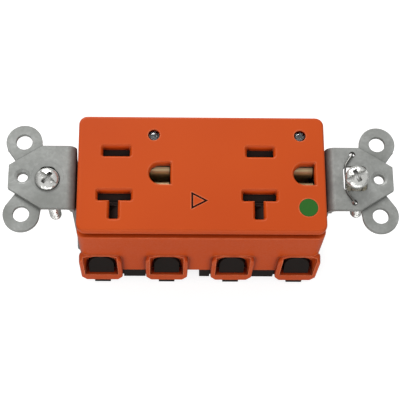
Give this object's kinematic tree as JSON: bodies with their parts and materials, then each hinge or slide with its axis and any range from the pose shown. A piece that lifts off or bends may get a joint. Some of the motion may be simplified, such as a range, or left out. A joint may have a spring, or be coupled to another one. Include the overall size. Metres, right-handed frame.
{
  "type": "duplex receptacle",
  "caption": "Flush duplex power receptacle with a rectangular orange face, T-slot outlets, indicator lamps and a wrap-round mounting strap.",
  "frame": {"origin": "centre of the four ear holes, on the plane where the strap's ears meet the wall", "axes": "+Z out of the wall through the face, +X along the strap towards the ground hole side, +Y across the strap towards the indicator lamps"},
  "size_m": [0.1066, 0.0372, 0.0414],
  "materials": {
    "orange_nylon": "semi-gloss moulded nylon",
    "black_housing": "moulded thermoplastic",
    "galvanised_steel": "zinc plated, dull",
    "plated_steel": "bright zinc plate",
    "spring_wire": "spring steel",
    "keeper_nylon": "moulded nylon",
    "contact_brass": "rolled brass",
    "plated_blade": "nickel plated",
    "clear_lens": "clear polycarbonate",
    "lamp_epoxy": "tinted epoxy",
    "circuit_board": "solder mask",
    "resistor_body": "lacquered ceramic",
    "black_insulation": "insulated wire",
    "white_insulation": "insulated wire",
    "shutter_plastic": "moulded acetal",
    "mark_ink": "printed ink",
    "green_dot": "moulded inlay"
  },
  "bodies": {
    "receptacle": {"front_cover": "orange_nylon", "base_housing": "black_housing", "mounting_strap": "galvanised_steel", "strap_rivets": "plated_steel", "ground_clip_wire": "spring_wire", "hot_contact_bar": "contact_brass", "neutral_contact_bar": "contact_brass", "ground_contact_bar": "contact_brass", "hot_terminal_blade": "plated_blade", "neutral_terminal_blade": "plated_blade", "ground_terminal_blade": "plated_blade", "left_ground_spring_clip": "spring_wire", "right_ground_spring_clip": "spring_wire", "left_lamp_lens": "clear_lens", "right_lamp_lens": "clear_lens", "left_lamp": "lamp_epoxy", "right_lamp": "lamp_epoxy", "lamp_circuit_board": "circuit_board", "lamp_resistors": "resistor_body", "lamp_hot_lead": "black_insulation", "lamp_neutral_lead": "white_insulation", "left_shutter_frame": "shutter_plastic", "right_shutter_frame": "shutter_plastic", "left_shutter_spring": "spring_wire", "right_shutter_spring": "spring_wire", "left_gate_spring": "spring_wire", "right_gate_spring": "spring_wire", "isolated_ground_mark": "mark_ink", "hospital_dot": "green_dot"},
    "left_keeper": {"left_screw_keeper": "keeper_nylon"},
    "left_screw": {"left_mounting_screw": "plated_steel"},
    "right_keeper": {"right_screw_keeper": "keeper_nylon"},
    "right_screw": {"right_mounting_screw": "plated_steel"},
    "left_slot_shutter": {"left_shutter": "shutter_plastic"},
    "right_slot_shutter": {"right_shutter": "shutter_plastic"},
    "left_tee_gate": {"left_stem_gate": "shutter_plastic"},
    "right_tee_gate": {"right_stem_gate": "shutter_plastic"}
  },
  "joints": [
    {"name": "left_screw_lift", "type": "slide", "parent": "receptacle", "child": "left_keeper", "axis": [0, 0, 1], "range_m": [0, 0.0064]},
    {"name": "left_screw_turn", "type": "hinge", "parent": "left_keeper", "child": "left_screw", "pos_m": [-0.04167, -0.0008, 0.0017], "axis": [0, 0, 1], "continuous": true},
    {"name": "right_screw_lift", "type": "slide", "parent": "receptacle", "child": "right_keeper", "axis": [-0.1305, 0, 0.9914], "range_m": [-0.0018, 0.0037]},
    {"name": "right_screw_turn", "type": "hinge", "parent": "right_keeper", "child": "right_screw", "pos_m": [0.04227, -0.0008, 0.0022], "axis": [-0.1305, 0, 0.9914], "continuous": true},
    {"name": "left_shutter_slide", "type": "slide", "parent": "receptacle", "child": "left_slot_shutter", "axis": [0, 1, 0], "range_m": [0, 0.0029], "stiffness_N_per_m": 120, "springref_m": -0.002, "deforming": ["left_shutter_spring"]},
    {"name": "left_gate_slide", "type": "slide", "parent": "receptacle", "child": "left_tee_gate", "axis": [1, 0, 0], "range_m": [0, 0.0027], "stiffness_N_per_m": 120, "springref_m": -0.002, "deforming": ["left_gate_spring"]},
    {"name": "right_shutter_slide", "type": "slide", "parent": "receptacle", "child": "right_slot_shutter", "axis": [0, 1, 0], "range_m": [0, 0.0029], "stiffness_N_per_m": 120, "springref_m": -0.002, "deforming": ["right_shutter_spring"]},
    {"name": "right_gate_slide", "type": "slide", "parent": "receptacle", "child": "right_tee_gate", "axis": [1, 0, 0], "range_m": [0, 0.0027], "stiffness_N_per_m": 120, "springref_m": -0.002, "deforming": ["right_gate_spring"]}
  ]
}
